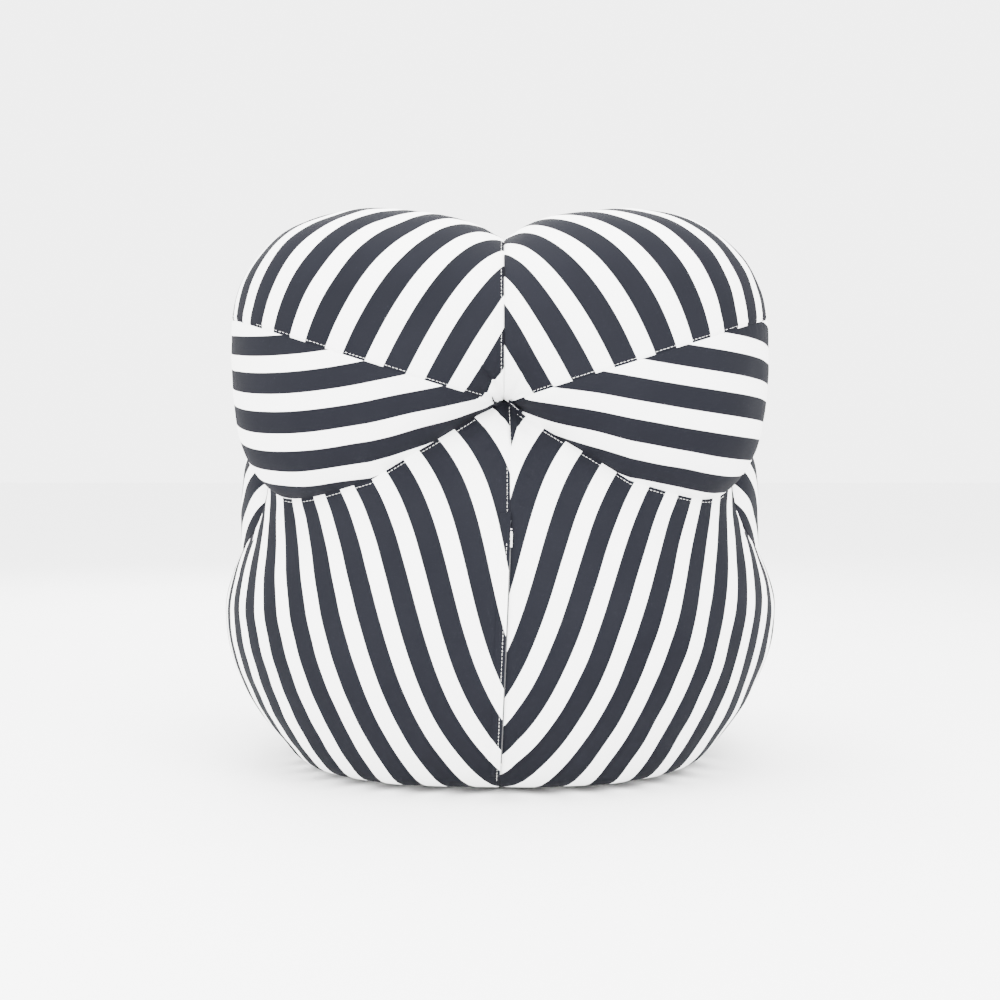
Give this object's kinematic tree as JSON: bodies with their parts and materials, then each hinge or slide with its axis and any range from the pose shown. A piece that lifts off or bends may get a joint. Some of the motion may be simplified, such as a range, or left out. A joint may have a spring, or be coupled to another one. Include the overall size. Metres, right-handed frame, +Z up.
{
  "type": "lounge armchair",
  "caption": "Bulbous foam lounge armchair with a striped stretch-cloth cover, rounded arms and a lower back seam closed by a zip.",
  "frame": {"origin": "centre of the floor outline, on the floor", "axes": "+Z up, -Y the way the sitter faces, +X to the sitter's left"},
  "size_m": [1.0044, 1.0085, 0.9825],
  "materials": {
    "striped_cloth": "dark navy-charcoal and white stripes, knitted stretch cloth",
    "foam": "open-cell moulded foam",
    "plywood": "plain birch plywood",
    "glide_plastic": "black nylon",
    "screw_steel": "zinc plated",
    "grip_tape": "hook-and-loop tape",
    "zip_tape": "white woven polyester tape",
    "zip_coil": "white polyester coil",
    "zip_metal": "nickel plated",
    "thread": "white sewing thread",
    "label_cloth": "plain white satin ribbon"
  },
  "bodies": {
    "chair": {"base_board": "plywood", "blank_label": "label_cloth", "cover_arm_inner_left": "striped_cloth", "cover_arm_inner_right": "striped_cloth", "cover_arm_outer_left": "striped_cloth", "cover_arm_outer_right": "striped_cloth", "cover_band_left": "striped_cloth", "cover_band_right": "striped_cloth", "cover_front_left": "striped_cloth", "cover_front_right": "striped_cloth", "cover_inner_back_left": "striped_cloth", "cover_inner_back_right": "striped_cloth", "cover_lower_back_left": "striped_cloth", "cover_lower_back_right": "striped_cloth", "cover_lumbar": "striped_cloth", "cover_seat_left": "striped_cloth", "cover_seat_right": "striped_cloth", "cover_upper_back_left": "striped_cloth", "cover_upper_back_right": "striped_cloth", "cover_upper_front_left": "striped_cloth", "cover_upper_front_right": "striped_cloth", "foam_arm_left": "foam", "foam_arm_right": "foam", "foam_lower_back": "foam", "foam_seat": "foam", "foam_upper_back_left": "foam", "foam_upper_back_right": "foam", "glide_front_left": "glide_plastic", "glide_front_right": "glide_plastic", "glide_rear_left": "glide_plastic", "glide_rear_right": "glide_plastic", "glide_screws": "screw_steel", "grip_strip_front": "grip_tape", "grip_strip_rear": "grip_tape", "grip_strip_side_left": "grip_tape", "grip_strip_side_right": "grip_tape", "zip_bottom_stop": "zip_metal", "zip_chain_left": "zip_coil", "zip_chain_right": "zip_coil", "zip_placket": "striped_cloth", "zip_tape_left": "zip_tape", "zip_tape_right": "zip_tape", "zip_thread_tack": "thread", "zip_top_stop": "zip_metal"},
    "slider": {"zip_slider": "zip_metal"},
    "pull": {"zip_pull_tab": "zip_metal"}
  },
  "joints": [
    {"name": "zip_travel", "type": "hinge", "parent": "chair", "child": "slider", "pos_m": [-0.011, -0.0186, 0.328], "axis": [0.9992, 0, 0.041], "range_deg": [-42, 0]},
    {"name": "pull_swing", "type": "hinge", "parent": "slider", "child": "pull", "pos_m": [-0.01852, 0.49396, 0.4386], "axis": [0.9992, 0, 0.041], "range_deg": [0, 120]}
  ]
}
